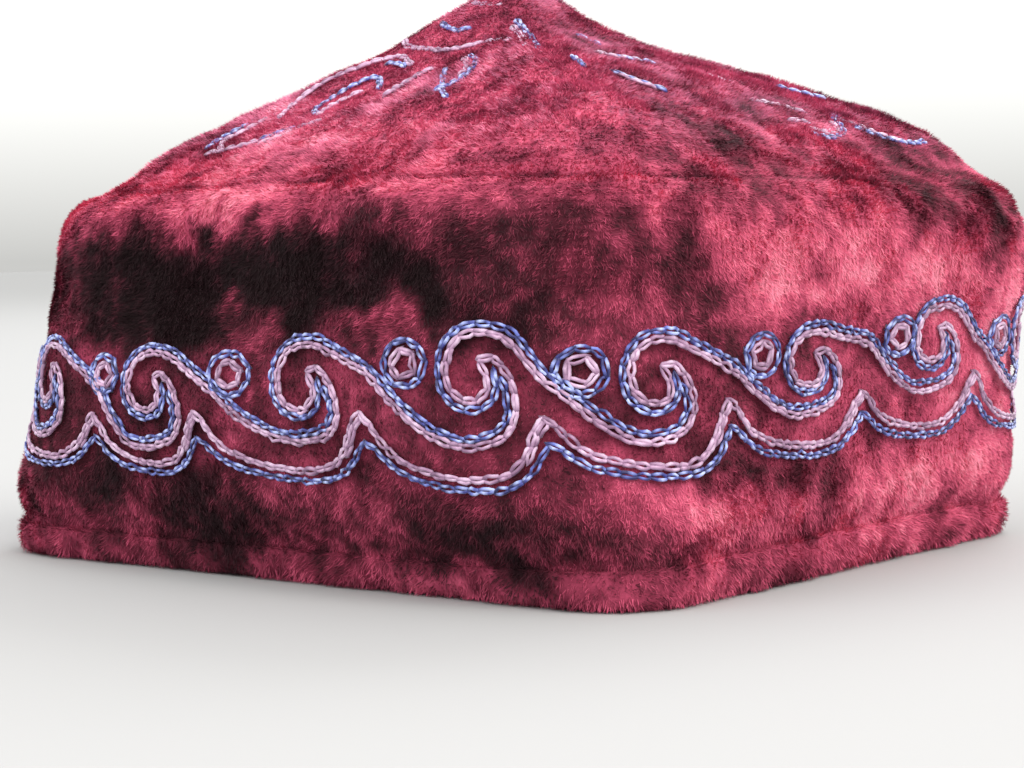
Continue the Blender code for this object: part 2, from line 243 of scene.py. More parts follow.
# Painted sheen and shade on the crushed pile of the band and crown, in dark patches and bright ones: around,
# height in millimetres, half width in sides, half height in millimetres, and tone from -1, near black, to 1,
# bright
NAP_SHEEN_AND_SHADE = (
    (0.50, 88, 0.62, 20.0, 0.75), (0.95, 80, 0.20, 14.0, 0.06), (0.42, 73, 0.26, 7.0, 0.45),
    (0.80, 74, 0.20, 6.0, 0.14), (1.45, 74, 0.30, 8.0, 0.40), (1.50, 88, 0.62, 19.0, 0.36),
    (2.50, 88, 0.62, 20.0, 0.45), (3.50, 88, 0.62, 20.0, 0.50), (0.31, 51, 0.165, 9.5, -1.30),
    (0.40, 49, 0.06, 5.0, -0.5), (0.66, 53, 0.19, 8.0, -1.25), (0.56, 50, 0.10, 4.0, -0.8),
    (0.91, 53, 0.10, 9.5, -0.60), (0.80, 50, 0.06, 5.0, -0.5), (0.12, 54, 0.06, 9.0, -0.4),
    (0.26, 16, 0.06, 5.0, -0.9), (0.43, 11, 0.09, 6.5, -0.95), (0.56, 12, 0.06, 5.0, 0.1),
    (0.83, 10, 0.13, 5.5, -0.6), (1.15, 54, 0.05, 7.0, -0.5), (1.28, 18.5, 0.07, 3.0, -0.4),
    (1.21, 12, 0.13, 4.5, 0.75), (1.84, 14, 0.12, 12.0, 0.75), (1.90, 42, 0.09, 10.0, 0.60),
    (1.10, 4, 0.16, 4.5, 0.45), (1.05, 6, 0.08, 3.0, -0.2), (1.80, 58, 0.05, 9.0, -0.45),
    (1.80, 66, 0.12, 2.5, -0.45), (1.66, 61, 0.06, 3.0, -0.6), (1.27, 63, 0.06, 5.0, -0.5),
    (1.08, 67, 0.14, 4.0, 0.45), (1.25, 75, 0.07, 4.5, -0.9), (1.18, 80, 0.04, 3.5, -0.5),
    (1.42, 70, 0.14, 2.5, -0.35), (1.68, 73, 0.14, 4.0, -0.55), (0.29, 65, 0.19, 3.6, 0.55),
    (0.45, 62, 0.05, 3.0, 0.9), (0.25, 58, 0.05, 3.0, -0.4), (0.66, 62, 0.05, 2.5, 0.5),
    (0.05, 62, 0.08, 9.0, 0.6), (0.60, 66, 0.20, 2.6, 0.6), (0.85, 66, 0.14, 3.0, 0.3),
    (1.47, 53, 0.24, 9.5, 1.05), (1.26, 60, 0.09, 6.0, 0.60), (1.08, 56, 0.07, 10.0, -0.25),
    (1.70, 46, 0.16, 8.0, 0.95), (1.30, 47, 0.10, 3.5, 0.6), (1.11, 15, 0.12, 5.0, 0.60),
    (1.36, 13, 0.05, 4.0, -0.30), (1.62, 15, 0.19, 8.5, 1.0), (1.42, 10, 0.18, 5.0, 0.5),
    (1.78, 32, 0.18, 11.0, 0.75), (1.45, 28, 0.20, 6.0, 0.25), (1.50, 3, 0.50, 3.5, 0.35),
    (0.06, 12, 0.08, 8.0, 0.12), (0.32, 14, 0.05, 4.0, 0.35), (0.66, 13, 0.05, 6.0, 0.35),
    (0.45, 21, 0.03, 2.0, 0.5), (0.16, 3, 0.34, 3.5, 0.15), (0.14, 12, 0.16, 9.0, -0.30),
    (0.60, 9, 0.12, 8.0, -0.30), (0.24, 28, 0.12, 6.0, -0.30), (0.62, 3, 0.20, 3.0, 0.35),
    (0.48, 48, 0.03, 1.6, 0.6), (0.42, 44, 0.12, 3.0, -0.4), (0.24, 44, 0.05, 3.0, -0.3),
    (0.76, 46, 0.05, 2.5, 0.75), (1.88, 38, 0.07, 14.0, 0.55), (1.62, 37, 0.24, 8.0, 0.28),
    (1.89, 62, 0.07, 12.0, 0.40), (0.80, 3, 0.10, 4.0, 0.60), (1.30, 52, 0.07, 4.0, 0.40),
    (0.45, 60.5, 0.035, 2.5, 0.60), (0.52, 72, 0.14, 4.5, -0.35), (0.56, 61, 0.04, 3.0, -0.50),
    (0.58, 86, 0.05, 6.0, -0.40), (1.48, 80, 0.07, 3.5, -0.40), (1.06, 72, 0.09, 3.0, 0.35),
    (0.66, 70, 0.06, 2.5, 0.35), (1.85, 38, 0.04, 12.0, 0.35), (1.45, 18, 0.05, 4.0, 0.40),
    (2.35, 54, 0.20, 9.0, -1.1), (2.72, 50, 0.14, 7.0, 0.8), (2.20, 14, 0.12, 6.0, 0.7),
    (2.60, 12, 0.16, 7.0, -0.9), (2.90, 15, 0.10, 6.0, 0.5), (2.50, 65, 0.30, 3.5, 0.6),
    (3.20, 53, 0.16, 8.0, 0.8), (3.55, 52, 0.20, 8.0, -1.3), (3.30, 12, 0.14, 6.0, -0.9),
    (3.70, 14, 0.16, 6.0, 0.6), (3.50, 65, 0.32, 3.5, 0.7), (3.88, 52, 0.08, 9.0, 0.4),
    (2.40, 76, 0.15, 6.0, -0.6), (3.75, 78, 0.12, 5.0, -0.6),
)


BASE_TONE = -0.10
SEAM_SHADE = 0.22  # painted shade, darker where the pile dips into the crown seam
SEAM_SHADE_WIDE = 0.0009
# How far the patches' edges wander, in sides and in millimetres, and the mottle over all: amount, size in
# metres and seed
WANDER_AROUND = ((0.035, 0.009, 31), (0.012, 0.003, 32))
WANDER_HEIGHT = ((2.4, 0.008, 33), (0.9, 0.0028, 34))
MOTTLE = ((0.18, 0.012, 35), (0.24, 0.0045, 36), (0.30, 0.0021, 37))
# The pile's colours, from the deepest painted shade, near black, to the brightest painted sheen
TONES = (-1.5, -1.0, -0.5, 0.0, 0.5, 1.0, 1.6)
TONE_HEX = ("#180a0d", "#2b1219", "#4f1f2b", "#843147", "#bc4c6a", "#e16786", "#f392a9")
TONE_COLOURS = [linear(colour) for colour in TONE_HEX]


def nap_sheen_shade_tone(around, way, points):
    """The tone of the pile at places on the cap, from about -1.4 to 1.4: painted sheen and shade in patches,
    painted shade in the crown seam, and a random mottle.
    """
    around = around + layered_noise(points, WANDER_AROUND)
    height = np.interp(way, plan_way, plan_z) * 1000 + layered_noise(points, WANDER_HEIGHT)
    tone = np.full(around.shape, BASE_TONE)
    # the painted sheen and shade patches of the crushed nap
    for centre, middle, wide, tall, strength in NAP_SHEEN_AND_SHADE:
        square = (sides_apart(around, centre) / wide) ** 2 + ((height - middle) / tall) ** 2
        tone = tone + strength * np.exp(-(square**1.5))
    tone = tone - SEAM_SHADE * np.exp(-(((way - seam_way(around)) / SEAM_SHADE_WIDE) ** 2))
    return tone + layered_noise(points, MOTTLE)


def colours_between(shade, steps, palette):
    """Linear colours for shades, mixed between the steps of a palette."""
    return np.stack([np.interp(shade, steps, [colour[i] for colour in palette]) for i in range(3)], axis=-1)


GROOVE_WIDE = 0.0016
SEAM_GROOVE = 0.0004
HEM_GROOVE = 0.0003
HEM_GROOVE_HEIGHT = 0.0075
PILE_DEEP = 0.26  # share of the wall that the pile takes up
GROUND_LUMPS = ((0.00035, 0.011, 41), (0.00018, 0.004, 42))


def groove(around, way):
    """How far the ground sinks into the sewn seams, in metres."""
    narrowing = np.interp(way, plan_way, plan_side) / plan_side[0]
    to_ridge = np.abs((around + 0.5) % 1 - 0.5) * SIDE_LENGTH * narrowing
    at_seam = np.exp(-(((way - seam_way(around)) / GROOVE_WIDE) ** 2))
    at_ridge = np.exp(-((to_ridge / GROOVE_WIDE) ** 2)) * (way > seam_way(around))
    at_hem = np.exp(-(((way - way_at(HEM_GROOVE_HEIGHT)) / GROOVE_WIDE) ** 2))
    return SEAM_GROOVE * at_seam + SEAM_GROOVE * at_ridge + HEM_GROOVE * at_hem


def ground_point(around, way):
    """The woven ground under the pile, a little lumpy and sunk into the seams."""
    lumps = layered_noise(cap_point(around, way), GROUND_LUMPS)
    return cap_point(around, way, PILE_DEEP, lumps - groove(around, way)) + TO_SOLIDS


def add_node(tree, kind, settings=None, inputs=None, links=None):
    """A shader node with its settings, its inputs' values and the sockets that feed its inputs."""
    node = tree.nodes.new(kind)
    for name, value in (settings or {}).items():
        setattr(node, name, value)
    for name, value in (inputs or {}).items():
        node.inputs[name].default_value = value
    for name, socket in (links or {}).items():
        tree.links.new(socket, node.inputs[name])
    return node


def new_finish(name):
    """An empty material with its output node."""
    material = bpy.data.materials.new(name)
    material.use_nodes = True
    material.node_tree.nodes.clear()
    return material, material.node_tree, material.node_tree.nodes.new("ShaderNodeOutputMaterial")


def uneven_dye(tree, painted, grain, darkest, lightest):
    """The colour painted on a piece, uneven from fibre to fibre: its socket, and the socket of the fibres."""
    colour = add_node(tree, "ShaderNodeAttribute", {"attribute_name": painted})
    place = add_node(tree, "ShaderNodeTexCoord")
    size = {"Scale": 1 / grain, "Detail": 2.0}
    fibres = add_node(tree, "ShaderNodeTexNoise", inputs=size, links={"Vector": place.outputs["Object"]})
    depth = {"To Min": darkest, "To Max": lightest}
    strength = add_node(tree, "ShaderNodeMapRange", inputs=depth, links={"Value": fibres.outputs["Fac"]})
    meeting = {0: colour.outputs["Color"], "Scale": strength.outputs["Result"]}
    dyed = add_node(tree, "ShaderNodeVectorMath", {"operation": "SCALE"}, links=meeting)
    return dyed.outputs["Vector"], fibres.outputs["Fac"]


# Viscose velvet ground, woven and dyed: matt, carrying the pile's painted sheen and shade and darkened
# further as painted shade between the tufts, with the yarns just visible at 0.5 mm
velvet_ground, tree, output = new_finish("woven_velvet_ground")
GROUND_YARN = 0.0005
# darker than the pile's tone as painted shade between the tufts, paler as painted light where a yarn stands
# out
dyed, yarns = uneven_dye(tree, "tone_colour", GROUND_YARN, 0.65, 0.95)
relief = add_node(
    tree, "ShaderNodeBump", inputs={"Strength": 0.6, "Distance": 0.0003}, links={"Height": yarns}
)
surface = add_node(
    tree,
    "ShaderNodeBsdfPrincipled",
    inputs={"Roughness": 0.95, "Specular IOR Level": 0.1},
    links={"Base Color": dyed, "Normal": relief.outputs["Normal"]},
)
tree.links.new(surface.outputs["BSDF"], output.inputs["Surface"])

# Plain-woven cotton backing in dull burgundy, its yarns 0.6 mm apart: matt, a faint grid of over and under,
# with painted shade where the yarns dip under
cotton_backing, tree, output = new_finish("plain_woven_backing")
weave_map = add_node(tree, "ShaderNodeAttribute", {"attribute_name": "weave_mm"})
YARN_PAIR = 1.2  # millimetres from one yarn that lies on top to the next
WAVE_SCALE = math.pi / 10 / YARN_PAIR  # the wave texture repeats every pi / 10 over its scale
yarn_waves = [
    add_node(
        tree,
        "ShaderNodeTexWave",
        {"bands_direction": direction},
        inputs={"Scale": WAVE_SCALE, "Distortion": 0.6, "Detail": 2.0, "Detail Scale": 2.0},
        links={"Vector": weave_map.outputs["Vector"]},
    ).outputs["Fac"]
    for direction in ("X", "Y")
]
crossing = add_node(
    tree, "ShaderNodeMath", {"operation": "MULTIPLY"}, links={0: yarn_waves[0], 1: yarn_waves[1]}
)
# darker where the yarns dip under: painted shade
backing_colour = add_node(
    tree,
    "ShaderNodeMix",
    {"data_type": "RGBA"},
    inputs={"A": linear("#3a1420") + [1.0], "B": linear("#7b3344") + [1.0]},
    links={"Factor": crossing.outputs["Value"]},
)
relief = add_node(
    tree,
    "ShaderNodeBump",
    inputs={"Strength": 0.7, "Distance": 0.0003},
    links={"Height": crossing.outputs["Value"]},
)
surface = add_node(
    tree,
    "ShaderNodeBsdfPrincipled",
    inputs={"Roughness": 0.92},
    links={"Base Color": backing_colour.outputs["Result"], "Normal": relief.outputs["Normal"]},
)
tree.links.new(surface.outputs["BSDF"], output.inputs["Surface"])


def new_piece(name, points, faces, finishes, finish_of_face=None):
    """An object made of points and faces, with the finishes given to its faces."""
    mesh = bpy.data.meshes.new(name)
    mesh.from_pydata(points, [], faces)
    for finish in finishes:
        mesh.materials.append(finish)
    if finish_of_face is not None:
        mesh.polygons.foreach_set("material_index", finish_of_face)
    mesh.polygons.foreach_set("use_smooth", [True] * len(mesh.polygons))
    mesh.update()
    piece = bpy.data.objects.new(name, mesh)
    bpy.context.scene.collection.objects.link(piece)
    return piece


def paint(piece, name, colours):
    """Stores a linear colour for every point of the piece."""
    layer = piece.data.attributes.new(name, "FLOAT_COLOR", "POINT")
    full = np.ones((len(piece.data.vertices), 4), dtype=np.float32)
    full[:, :3] = colours
    layer.data.foreach_set("color", full.ravel())


def store_vectors(piece, name, vectors):
    """Stores a vector for every point of the piece."""
    layer = piece.data.attributes.new(name, "FLOAT_VECTOR", "POINT")
    layer.data.foreach_set("vector", np.asarray(vectors, dtype=np.float32).ravel())


def grid_faces(rows, columns, closed, start=0):
    """Faces of a grid of points stored row by row, its last column joined to the first where it is closed."""
    column, row = np.meshgrid(np.arange(columns if closed else columns - 1), np.arange(rows - 1))
    foot, top = row * columns + start, (row + 1) * columns + start
    beside = (column + 1) % columns
    return np.stack([foot + column, foot + beside, top + beside, top + column], axis=-1).reshape(-1, 4)


def roll_faces(rows, columns):
    """The same, with the last row joined to the first as well."""
    faces = grid_faces(rows + 1, columns, True)
    return np.where(faces >= rows * columns, faces - rows * columns, faces)


BAND_FOOT = way_at(0.0015)
BAND_COLUMNS = 360
band_around = np.arange(BAND_COLUMNS) * 4 / BAND_COLUMNS
outer_rise = np.linspace(0, 1, 44)[:, None]
inner_rise = np.linspace(1, 0, 26)[:, None]
band_top = seam_way(band_around)
outer_way = BAND_FOOT + (band_top - BAND_FOOT) * outer_rise
inner_way = BAND_FOOT + (band_top - BAND_FOOT) * inner_rise
band_around_outer = np.broadcast_to(band_around, outer_way.shape)
band_around_inner = np.broadcast_to(band_around, inner_way.shape)
band_outer = ground_point(band_around_outer, outer_way)
band_inner = cap_point(band_around_inner, inner_way, 1.0) + TO_SOLIDS
band_points = np.concatenate([band_outer.reshape(-1, 3), band_inner.reshape(-1, 3)])
band_faces = roll_faces(len(outer_rise) + len(inner_rise), BAND_COLUMNS)
outside = (len(outer_rise) - 1) * BAND_COLUMNS
finish_of_face = [0] * outside + [1] * (len(band_faces) - outside)
finishes = [velvet_ground, cotton_backing]
band_velvet = new_piece("band_velvet", band_points, band_faces.tolist(), finishes, finish_of_face)
all_around = np.concatenate([band_around_outer.ravel(), band_around_inner.ravel()])
all_way = np.concatenate([outer_way.ravel(), inner_way.ravel()])
tone = nap_sheen_shade_tone(all_around, all_way, band_points)
paint(band_velvet, "tone_colour", colours_between(tone, TONES, TONE_COLOURS))
along_yarns = np.stack([all_around * SIDE_LENGTH, all_way, all_way * 0], axis=-1)
store_vectors(band_velvet, "weave_mm", along_yarns * 1000)
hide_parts("band")
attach(band_velvet, "root")


# The crown: four triangular velvet panels on the same backing, seamed along the four ridges that run up to
# the tip and round the band's upper edge.
SIDE_NAMES = ("front", "right", "back", "left")
PANEL_COLUMNS = 90
PANEL_ROWS = 48
TIP_GAP = 0.0006  # the panels end just short of the tip
for side, side_name in enumerate(SIDE_NAMES):
    panel_around = side + np.linspace(0.0002, 0.9998, PANEL_COLUMNS)
    foot = seam_way(panel_around)
    up_way = foot + (TIP_WAY - TIP_GAP - foot) * np.linspace(0, 1, PANEL_ROWS)[:, None] ** 0.9
    down_way = up_way[::-2]
    around_outer = np.broadcast_to(panel_around, up_way.shape)
    around_inner = np.broadcast_to(panel_around, down_way.shape)
    panel_outer = ground_point(around_outer, up_way)
    panel_inner = cap_point(around_inner, down_way, 1.0) + TO_SOLIDS
    panel_points = np.concatenate([panel_outer.reshape(-1, 3), panel_inner.reshape(-1, 3)])
    panel_loops = len(up_way) + len(down_way)
    panel_faces = grid_faces(panel_loops, PANEL_COLUMNS, False).tolist()
    last = (panel_loops - 1) * PANEL_COLUMNS
    panel_faces += [(last + i, last + i + 1, i + 1, i) for i in range(PANEL_COLUMNS - 1)]
    outside = (PANEL_ROWS - 1) * (PANEL_COLUMNS - 1)
    finish_of_face = [0] * outside + [1] * (len(panel_faces) - outside)
    panel = new_piece("crown_velvet_" + side_name, panel_points, panel_faces, finishes, finish_of_face)
    all_around = np.concatenate([around_outer.ravel(), around_inner.ravel()])
    all_way = np.concatenate([up_way.ravel(), down_way.ravel()])
    tone = nap_sheen_shade_tone(all_around, all_way, panel_points)
    paint(panel, "tone_colour", colours_between(tone, TONES, TONE_COLOURS))
    store_vectors(panel, "weave_mm", panel_points * 1000)
    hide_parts("crown_panel_" + side_name)
    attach(panel, "root")


# The hem binding: a strip of the same velvet, folded over the band's raw edge and stitched down, so that it
# stands out as a soft, slightly lumpy roll all round.
HEM_HEIGHT = 0.0060
HEM_RISE_RIGHT = 0.0014  # more of the roll shows on the right side, where it is rolled less tightly
HEM_RISE_CENTRE = 1.5
HEM_RISE_WIDE = 0.5
HEM_LUMPS = ((0.00045, 0.005, 51), (0.0005, 0.015, 52))
# Height as a share of the roll's, side of the wall, and distance from that side in millimetres
HEM_ROLL = (
    (1.02, 0, -1.2), (1.00, 0, -0.3), (0.93, 0, 0.25), (0.78, 0, 0.60), (0.58, 0, 0.80), (0.36, 0, 0.75),
    (0.18, 0, 0.40), (0.08, 0, -0.1), (0.045, 0, -0.9), (0.045, 1, 0.9), (0.08, 1, 0.1), (0.18, 1, -0.55),
    (0.36, 1, -1.00), (0.58, 1, -1.10), (0.78, 1, -0.85), (0.93, 1, -0.4), (1.00, 1, 0.3), (1.02, 1, 1.2),
)


def hem_point(around, turn, out=0.0):
    """Points of the rolled binding: turn runs from 0, its outer edge, under the hem to 1, its inner edge."""
    around, turn, out = np.broadcast_arrays(*(np.asarray(v, float) for v in (around, turn, out)))
    steps = np.linspace(0, 1, len(HEM_ROLL))
    high = np.interp(turn, steps, [high for high, _, _ in HEM_ROLL])
    away = np.interp(turn, steps, [away / 1000 - WALL * side for _, side, away in HEM_ROLL])
    apart = sides_apart(around, HEM_RISE_CENTRE) / HEM_RISE_WIDE
    z = high * (HEM_HEIGHT + HEM_RISE_RIGHT * np.exp(-(apart**2)))
    face_way = way_at(np.maximum(z, 0.0003))
    face = cap_point(around, face_way)
    flat_normal = unit(cap_frame(around, face_way)[2] * [1, 1, 0])
    bulge = np.clip(1.2 - np.abs(turn - 0.5) * 1.6, 0, 1)  # the lumps fade out towards the roll's edges
    lumps = layered_noise(face, HEM_LUMPS) * bulge
    found = face + flat_normal * (away + lumps + out)[..., None]
    found[..., 2] = z
    return found + TO_SOLIDS


HEM_COLUMNS = 360
HEM_ROWS = 27
hem_around = np.arange(HEM_COLUMNS)[None, :] * 4 / HEM_COLUMNS
hem_points = hem_point(hem_around, np.linspace(0, 1, HEM_ROWS)[::-1, None]).reshape(-1, 3)
hem_velvet = new_piece("hem_velvet", hem_points, roll_faces(HEM_ROWS, HEM_COLUMNS).tolist(), [velvet_ground])
every_around = np.tile(hem_around.ravel(), HEM_ROWS)
tone = nap_sheen_shade_tone(every_around, way_at(hem_points[:, 2]), hem_points)
paint(hem_velvet, "tone_colour", colours_between(tone, TONES, TONE_COLOURS))
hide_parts("hem_binding")
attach(hem_velvet, "root")


# The sewing inside: running stitches of burgundy cotton thread along the crown seam, up beside the four
# ridges and through the inner edge of the binding. They sink into the backing at both ends.

# Mercerised cotton sewing thread, two plies twisted and dyed: a faint gloss, and painted light that makes it
# paler where a ply stands out
cotton_thread, tree, output = new_finish("mercerised_cotton_thread")
THREAD_PLY = 0.0002
place = add_node(tree, "ShaderNodeTexCoord")
plies = add_node(
    tree,
    "ShaderNodeTexNoise",
    inputs={"Scale": 1 / THREAD_PLY, "Detail": 2.0},
    links={"Vector": place.outputs["Object"]},
)
# paler where a ply stands out: painted light
thread_colour = add_node(
    tree,
    "ShaderNodeMix",
    {"data_type": "RGBA"},
    inputs={"A": linear("#3d1119") + [1.0], "B": linear("#8f3848") + [1.0]},
    links={"Factor": plies.outputs["Fac"]},
)
relief = add_node(
    tree,
    "ShaderNodeBump",
    inputs={"Strength": 0.5, "Distance": 0.0001},
    links={"Height": plies.outputs["Fac"]},
)
surface = add_node(
    tree,
    "ShaderNodeBsdfPrincipled",
    inputs={"Roughness": 0.55, "Specular IOR Level": 0.4},
    links={"Base Color": thread_colour.outputs["Result"], "Normal": relief.outputs["Normal"]},
)
tree.links.new(surface.outputs["BSDF"], output.inputs["Surface"])

THREAD = 0.00024  # half the thickness of the sewing thread
THREAD_SIDES = 6
SEWN_STEP = 0.0050  # from the start of one stitch to the next
SEAM_MARGIN = 0.0022  # of the stitches below the crown seam and beside a ridge
# Along the stitch as a share of the step, height over the cloth in millimetres and thickness as a share
SEWN = ((0.00, -0.30, 0.7), (0.10, 0.05, 1.0), (0.32, 0.14, 1.0), (0.52, 0.05, 1.0), (0.62, -0.30, 0.7))


def distances(line):
    """How far along a line each of its points lies."""
    return np.concatenate([[0.0], np.cumsum(np.linalg.norm(np.diff(line, axis=0), axis=1))])


def at_distance(goal, run, line):
    """The place, or places, on a line at a distance along it."""
    return np.stack([np.interp(goal, run, line[:, axis]) for axis in range(3)], axis=-1)


def sewn_line(line, facing, rng):
    """Points and faces of running stitches on a line of cloth, with facing its directions off the cloth."""
    run = distances(line)
    turn = np.arange(THREAD_SIDES)[:, None] * 2 * math.pi / THREAD_SIDES
    rings, found_faces = [], []
    for number in range(int(run[-1] / SEWN_STEP)):
        start = len(rings) * THREAD_SIDES
        first = (number + rng.uniform(0, 0.12)) * SEWN_STEP
        for share, high, thick in SEWN:
            goal = first + share * SEWN_STEP * rng.uniform(0.94, 1.06)
            place = at_distance(goal, run, line)
            off = unit(at_distance(goal, run, facing))
            aside = unit(np.cross(at_distance(goal + 0.0003, run, line) - place, off))
            circle = aside * np.cos(turn) + off * np.sin(turn)
            rings.append(place + off * high / 1000 + THREAD * thick * circle)
        last = start + (len(SEWN) - 1) * THREAD_SIDES
        found_faces += grid_faces(len(SEWN), THREAD_SIDES, True, start)[:, ::-1].tolist()
        found_faces.append(list(range(start, start + THREAD_SIDES)))
        found_faces.append(list(range(last, last + THREAD_SIDES))[::-1])
    return np.concatenate(rings), found_faces


def inner_line(around, way):
    """A line on the cap's inner face, and its directions off that face."""
    return cap_point(around, way, 1.0) + TO_SOLIDS, -cap_frame(around, way)[2]


RING_SAMPLES = 480
ring_around = np.linspace(0, 3.998, RING_SAMPLES)
sewn_lines = [inner_line(ring_around, seam_way(ring_around) - SEAM_MARGIN)]
for ridge in range(4):
    rise = np.linspace(seam_way(ridge) + 0.004, TIP_WAY - 0.014, 120)
    side_length = SIDE_LENGTH * np.interp(rise, plan_way, plan_side) / plan_side[0]
    sewn_lines.append(inner_line(ridge + SEAM_MARGIN / side_length, rise))
binding_edge = hem_point(ring_around, 0.93, -0.00002)
sewn_lines.append((binding_edge, -cap_frame(ring_around, way_at(HEM_HEIGHT))[2]))
sewer = np.random.default_rng(55)
sewn_points, sewn_faces = np.zeros((0, 3)), []
for line, facing in sewn_lines:
    more_points, more_faces = sewn_line(line, facing, sewer)
    sewn_faces += [[index + len(sewn_points) for index in face] for face in more_faces]
    sewn_points = np.concatenate([sewn_points, more_points])
inside_stitches = new_piece("inside_running_stitches", sewn_points, sewn_faces, [cotton_thread])
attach(inside_stitches, "root")


# The wave on the band: a scroll that curls over sixteen times round the cap, a ring in each hollow and a
# scallop below, all worked in chain stitch with two lines of loose rayon floss, lilac pink beside blue.
STITCH = 0.0024  # length of one chain stitch
# One repeat of the pink scroll. The first number is 0 at the cusp of the scallop, 1 and 2 at the curl's left
# and right edges and 3 at the next cusp; the second is 0 in the trough, 1 at the curl's foot, 2 at its top.
SCROLL_START = (
    (1.51, 1.56), (1.56, 1.46), (1.62, 1.34), (1.63, 1.19), (1.59, 1.08), (1.50, 1.02), (1.34, 1.00),
    (1.17, 1.07), (1.06, 1.20), (1.01, 1.38), (1.00, 1.55), (1.06, 1.76), (1.20, 1.93), (1.42, 2.00),
    (1.68, 1.98), (1.95, 1.85),
)
SCROLL_END = (
    (0.00, 1.43), (0.19, 1.26), (0.347, 1.05), (0.508, 0.77), (0.669, 0.47), (0.831, 0.22), (0.992, 0.06),
    (1.28, 0.00), (1.56, 0.08), (1.78, 0.22), (1.92, 0.43), (2.00, 0.72), (2.01, 1.05), (1.96, 1.28),
    (1.85, 1.47), (1.72, 1.61), (1.58, 1.67), (1.49, 1.60),
)
# The scallop from cusp to cusp: share of the way, and height as a share of the cusp's
SCALLOP = (
    (0.00, 1.00), (0.055, 0.85), (0.085, 0.67), (0.12, 0.48), (0.18, 0.31), (0.27, 0.17), (0.36, 0.09),
    (0.48, 0.02), (0.61, 0.00), (0.70, 0.03), (0.78, 0.13), (0.86, 0.35), (0.91, 0.55), (0.955, 0.82),
    (1.00, 1.00),
)
# Each repeat as the hand placed it: its cusp and its curl's left and right edges in sides, then the heights
# in millimetres of the cusp, the scallop's foot, the trough and the curl's foot and top. Its ring: place in
# sides, then height, half width and half height in millimetres.
Repeat = namedtuple("Repeat", "cusp left right cusp_z scallop_z trough foot top ring ring_z ring_w ring_h")
REPEATS = (
    Repeat(0.250, 0.318, 0.418, 28.0, 19.9, 22.8, 29.2, 39.2, 0.268, 35.2, 3.9, 3.8),
    Repeat(0.446, 0.597, 0.700, 29.2, 20.5, 25.4, 30.7, 41.2, 0.510, 36.0, 5.4, 4.0),
    Repeat(0.737, 0.862, 0.943, 30.5, 20.6, 25.7, 32.8, 43.5, 0.806, 38.6, 4.3, 4.1),
    Repeat(0.972, 1.072, 1.152, 30.3, 22.2, 26.0, 31.8, 41.8, 1.016, 37.3, 4.4, 4.0),
    Repeat(1.208, 1.328, 1.435, 31.8, 23.0, 28.1, 33.0, 41.7, 1.272, 38.4, 4.7, 3.8),
    Repeat(1.484, 1.600, 1.702, 31.0, 23.7, 30.0, 35.2, 44.9, 1.560, 40.0, 4.9, 3.6),
    Repeat(1.745, 1.862, 1.950, 32.4, 23.0, 28.6, 34.0, 44.0, 1.808, 38.8, 4.4, 3.9),
    Repeat(2.000, 2.118, 2.205, 31.0, 22.4, 27.0, 32.6, 42.4, 2.066, 38.0, 4.5, 4.0),
    Repeat(2.252, 2.371, 2.458, 30.2, 21.8, 26.2, 32.0, 42.0, 2.318, 37.4, 4.4, 3.9),
    Repeat(2.505, 2.622, 2.712, 30.6, 21.4, 26.0, 31.6, 42.2, 2.570, 37.2, 4.6, 4.1),
    Repeat(2.752, 2.874, 2.960, 30.4, 21.6, 26.4, 32.2, 42.6, 2.820, 37.6, 4.3, 4.0),
    Repeat(3.004, 3.120, 3.208, 30.0, 21.0, 25.8, 31.8, 42.0, 3.066, 37.2, 4.5, 3.8),
    Repeat(3.250, 3.370, 3.455, 29.8, 20.8, 25.4, 31.4, 41.6, 3.316, 36.8, 4.4, 4.0),
    Repeat(3.500, 3.622, 3.708, 29.4, 20.6, 25.2, 31.0, 41.4, 3.568, 36.6, 4.5, 3.9),
    Repeat(3.752, 3.868, 3.955, 29.0, 20.2, 24.6, 30.6, 41.0, 3.815, 36.2, 4.4, 4.0),
    Repeat(4.000, 4.096, 4.180, 28.4, 20.0, 23.6, 30.0, 40.2, 4.060, 35.8, 4.2, 3.9),
)
needle = np.random.default_rng(7)


def smooth_line(points, count=14):
    """A smooth curve through points, with count steps between each two."""
    points = np.asarray(points, float)
    ends = np.concatenate([[2 * points[0] - points[1]], points, [2 * points[-1] - points[-2]]])
    share = (np.arange(count) / count)[:, None]
    parts = []
    for before, start, end, after in zip(ends, ends[1:], ends[2:], ends[3:]):
        bend = 2 * before - 5 * start + 4 * end - after
        twist = 3 * start - before - 3 * end + after
        parts.append(0.5 * (2 * start + (end - before) * share + bend * share**2 + twist * share**3))
    return np.concatenate(parts + [points[-1:]])


def even_steps(line, length):
    """Places along a line at nearly equal steps of about the given length."""
    run = distances(line)
    count = max(1, round(run[-1] / length))
    goals = np.linspace(0, run[-1], count + 1)
    goals[1:-1] += needle.uniform(-0.14, 0.14, count - 1) * length
    return at_distance(goals, run, line)


def stitch_ends(places, aside=0.0, raised=0.0, trim=0.0, stitch=STITCH):
    """Stitch ends and normals along a line of (around, way) places, moved aside to the left of its run."""
    points = cap_point(places[:, 0], places[:, 1]) + TO_SOLIDS
    normals = cap_frame(places[:, 0], places[:, 1])[2]
    left = unit(np.cross(normals, np.gradient(points, axis=0)))
    line = points + left * aside + normals * raised
    if trim:
        run = distances(line)
        line = line[run < run[-1] - trim]
    ends = even_steps(line, stitch)
    pick = np.array([np.argmin(((points - end) ** 2).sum(axis=1)) for end in ends])
    return ends, normals[pick]


def on_band(line_mm):
    """A charted line of (around, millimetres above the floor) as (around, way) places."""
    line_mm = np.asarray(line_mm, float)
    return np.stack([line_mm[:, 0] % 4, way_at(line_mm[:, 1] / 1000)], axis=-1)
